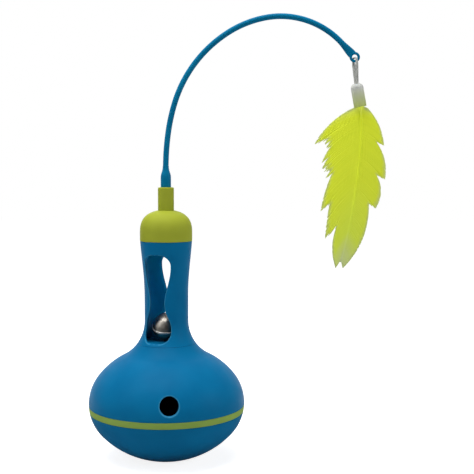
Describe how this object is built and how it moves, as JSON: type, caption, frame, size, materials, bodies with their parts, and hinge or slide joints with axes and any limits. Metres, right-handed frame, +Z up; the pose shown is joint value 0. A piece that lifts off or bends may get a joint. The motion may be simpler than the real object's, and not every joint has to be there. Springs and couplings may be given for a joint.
{
  "type": "treat dispensing toy",
  "caption": "Weighted vase-shaped cat tumbler with a treat hole, a bell caged in its neck and a springy arched wand that dangles a feather.",
  "frame": {"origin": "centre of the round flat foot that the toy stands on", "axes": "+Z up through the neck's axis; +X from the axis towards the hanging feather, along the wand's arch; the treat hole faces -Y, 5.7 degrees towards +X"},
  "size_m": [0.1902, 0.1, 0.2836],
  "materials": {
    "blue_plastic": "satin moulded plastic",
    "green_plastic": "satin moulded plastic",
    "weight_iron": "plain cast disc",
    "steel": "zinc plated",
    "bell_chrome": "polished nickel plate",
    "teal_plastic": "smooth springy plastic",
    "clear_plastic": "frosted clear plastic",
    "quill": "dyed feather shaft",
    "feather": "dyed feather vane"
  },
  "bodies": {
    "base": {"base_bowl": "blue_plastic", "base_weight": "weight_iron", "weight_cover": "blue_plastic", "weight_screws": "steel"},
    "ring": {"accent_ring": "green_plastic"},
    "vase": {"bulb_shell": "blue_plastic", "neck_cage": "blue_plastic", "cap": "green_plastic"},
    "bell": {"bell_upper": "bell_chrome", "bell_lower": "bell_chrome"},
    "pellet": {"bell_pellet": "steel"},
    "collar": {"wand_collar": "green_plastic", "collar_clip": "steel"},
    "wand_foot": {"wand_plug": "teal_plastic"},
    "wand_tip": {"wand_rod": "teal_plastic", "tip_eye": "teal_plastic"},
    "loop": {"hanger_loop": "clear_plastic"},
    "feather": {"feather_sleeve": "clear_plastic", "feather_quill": "quill", "vane_left": "feather", "vane_right": "feather"}
  },
  "joints": [
    {"name": "lock_twist", "type": "hinge", "parent": "base", "child": "ring", "pos_m": [0, 0, 0], "axis": [0, 0, 1], "range_deg": [0, 45]},
    {"name": "lock_rise", "type": "slide", "parent": "ring", "child": "vase", "axis": [0, 0, 1], "range_m": [0, 0.002]},
    {"name": "bell_hop", "type": "slide", "parent": "vase", "child": "bell", "axis": [0, 0, 1], "range_m": [0, 0.057]},
    {"name": "pellet_roll", "type": "hinge", "parent": "bell", "child": "pellet", "pos_m": [0, 0, 0.08456], "axis": [0, 1, 0], "continuous": true},
    {"name": "collar_swivel", "type": "hinge", "parent": "vase", "child": "collar", "pos_m": [0, 0, 0.16], "axis": [0, 0, 1], "continuous": true},
    {"name": "wand_pull", "type": "slide", "parent": "collar", "child": "wand_foot", "axis": [0, 0, 1], "range_m": [0, 0.0125]},
    {"name": "wand_bow", "type": "hinge", "parent": "wand_foot", "child": "wand_tip", "pos_m": [0, 0, 0.18751], "axis": [0, 1, 0], "range_deg": [-10, 20], "stiffness_Nm_per_rad": 0.2, "springref_deg": -0.89, "deforming": ["wand_rod"]},
    {"name": "loop_swing", "type": "hinge", "parent": "wand_tip", "child": "loop", "pos_m": [0.11965, 0, 0.25554], "axis": [0, 1, 0], "range_deg": [-80, 40]},
    {"name": "feather_twist", "type": "hinge", "parent": "loop", "child": "feather", "pos_m": [0.12084, 0, 0.23934], "axis": [0.1771, 0, -0.9842], "range_deg": [-60, 60], "stiffness_Nm_per_rad": 0.0003}
  ],
  "couplings": [
    {"joint": "lock_rise", "follows": "lock_twist", "m_per_rad": 0.002546}
  ]
}
